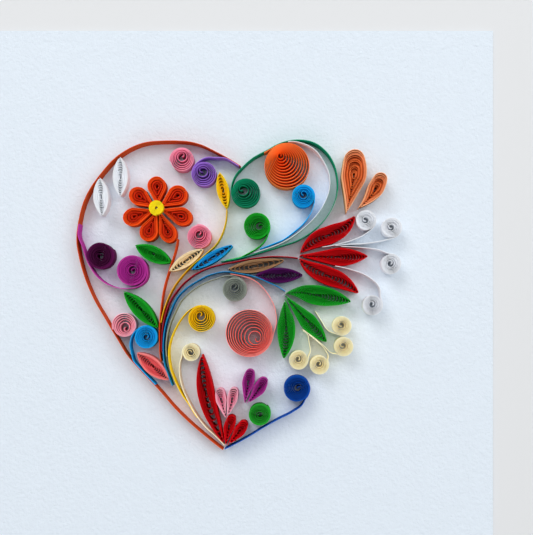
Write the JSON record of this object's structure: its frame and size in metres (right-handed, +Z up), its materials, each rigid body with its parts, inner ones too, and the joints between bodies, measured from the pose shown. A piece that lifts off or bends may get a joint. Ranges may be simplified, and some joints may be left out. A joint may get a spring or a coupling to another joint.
{
  "type": "quilled paper card",
  "caption": "Square white textured card with a heart of quilled paper: rolled coils, pinched leaves, a flower and long scrolls, all standing on edge.",
  "frame": {"origin": "middle of the card's underside", "axes": "+X to the right of the picture, +Y to its top, +Z up out of the card, the way the strips stand"},
  "size_m": [0.15, 0.15, 0.008],
  "materials": {
    "card_white": "cold-pressed, matte",
    "orange_red": "matte",
    "teal": "matte",
    "crimson": "matte",
    "yellow": "matte",
    "sky_blue": "matte",
    "grey": "matte",
    "magenta": "matte",
    "violet": "matte",
    "white": "matte",
    "amber": "matte",
    "green": "matte",
    "coral": "matte",
    "ivory": "matte",
    "navy": "matte",
    "pink": "matte",
    "plum": "matte",
    "tan": "matte",
    "dark_red": "matte",
    "flame": "matte"
  },
  "bodies": {
    "root": {"card": "card_white", "orange_outline": "orange_red", "orange_stem": "orange_red", "teal_scroll": "teal", "red_stem": "crimson", "red_petal_upper": "crimson", "red_petal_middle": "crimson", "red_petal_lower": "crimson", "red_heart_left": "crimson", "red_heart_right": "crimson", "yellow_stem": "yellow", "yellow_scroll": "yellow", "yellow_leaf": "yellow", "flower_button": "yellow", "sky_stem": "sky_blue", "sky_scroll_low": "sky_blue", "sky_scroll_high": "sky_blue", "sky_leaf": "sky_blue", "grey_scroll": "grey", "magenta_scroll": "magenta", "purple_heart_left": "magenta", "purple_heart_right": "magenta", "violet_scroll": "violet", "white_arc": "white", "white_leaf_left": "white", "white_leaf_right": "white", "white_spray_a": "white", "white_spray_b": "white", "white_spray_c": "white", "white_spray_d": "white", "orange_roll": "amber", "orange_drop_large": "amber", "orange_drop_small": "amber", "green_scroll": "green", "green_coil_low": "green", "green_leaf_low": "green", "green_leaf_high": "green", "long_leaf_upper": "green", "long_leaf_middle": "green", "long_leaf_lower": "green", "coral_scroll": "coral", "salmon_leaf": "coral", "ivory_scroll": "ivory", "ivory_leaf": "ivory", "ivory_spray_a": "ivory", "ivory_spray_b": "ivory", "ivory_spray_c": "ivory", "ivory_spray_d": "ivory", "blue_scroll": "navy", "pink_coil_low": "pink", "pink_coil_top": "pink", "pink_coil_middle": "pink", "pink_heart_left": "pink", "pink_heart_right": "pink", "plum_coil": "plum", "purple_leaf": "plum", "tan_leaf": "tan", "dark_red_leaf": "dark_red", "flower_petals": "flame"}
  },
  "joints": []
}
